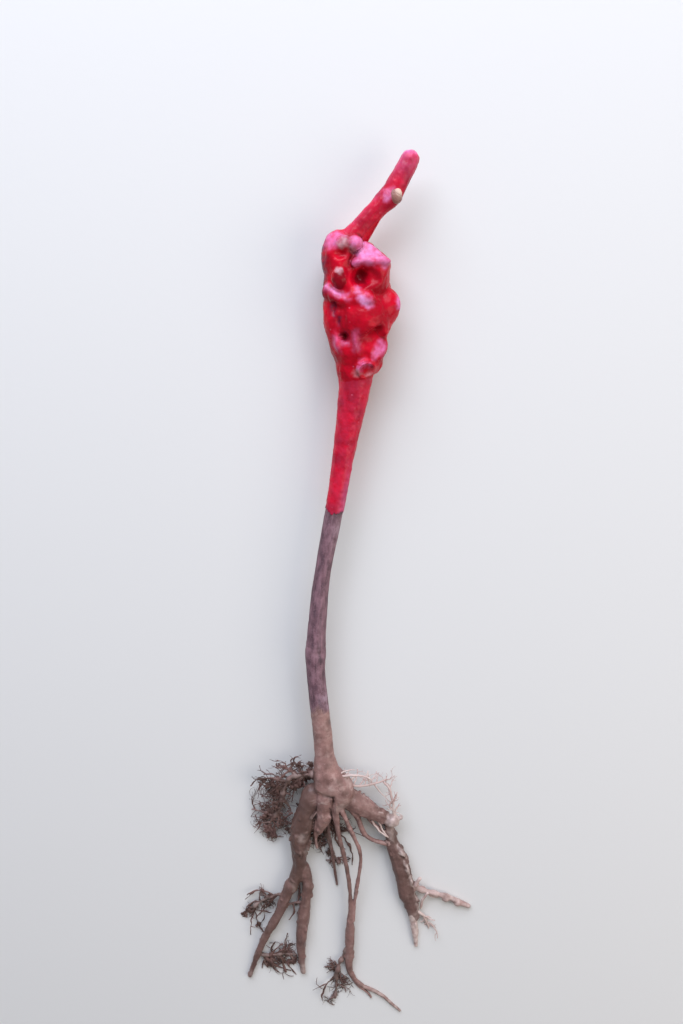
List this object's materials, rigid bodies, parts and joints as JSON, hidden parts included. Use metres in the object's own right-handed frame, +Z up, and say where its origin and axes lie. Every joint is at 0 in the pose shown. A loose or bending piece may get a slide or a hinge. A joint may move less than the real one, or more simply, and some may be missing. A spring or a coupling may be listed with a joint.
{
  "type": "bare-root grafted grapevine",
  "caption": "Young bare-root grafted grapevine on its side: rootstock cane, wax-dipped graft union with a pruned spur, and forking muddy roots with fine rootlets.",
  "frame": {"origin": "on the ground, under the middle of the vine's outline seen from above", "axes": "+Y along the cane from the root tips to the spur's tip, +Z up from the ground that the vine lies on"},
  "size_m": [0.1176, 0.4285, 0.026],
  "materials": {
    "grafting_wax": "glossy red grafting wax, dipped",
    "rootstock_bark": "grey-brown fissured bark with a film of dried clay",
    "root_bark": "brown root bark under wet clay",
    "bud_scale": "matt scaly bud",
    "cut_wood": "weathered pruning cut",
    "rootlet": "thin fibrous rootlets"
  },
  "bodies": {
    "root": {"rootstock_cane": "rootstock_bark", "waxed_neck": "grafting_wax", "graft_union": "grafting_wax", "union_knob": "grafting_wax", "union_bud": "bud_scale", "union_cut_face": "cut_wood", "pruned_stub": "grafting_wax", "scion_spur": "grafting_wax", "spur_bud": "bud_scale", "root_left_main": "root_bark", "root_left_outer": "root_bark", "root_left_inner": "root_bark", "root_front_main": "root_bark", "root_right_main": "root_bark", "root_right_lower": "root_bark", "root_right_branch": "root_bark", "root_right_tip": "root_bark", "root_right_inner": "root_bark", "root_right_strand": "root_bark", "root_middle_long": "root_bark", "root_middle_right": "root_bark", "root_middle_left": "root_bark", "root_middle_split": "root_bark", "root_back": "root_bark", "fine_roots_left": "rootlet", "fine_roots_right_upper": "rootlet", "fine_roots_right": "rootlet", "fine_roots_right_nub": "rootlet", "fine_roots_right_low": "rootlet", "fine_roots_left_low": "rootlet", "fine_roots_left_cross": "rootlet", "fine_roots_left_outer": "rootlet", "fine_roots_middle_end": "rootlet", "fine_roots_back": "rootlet"}
  },
  "joints": []
}
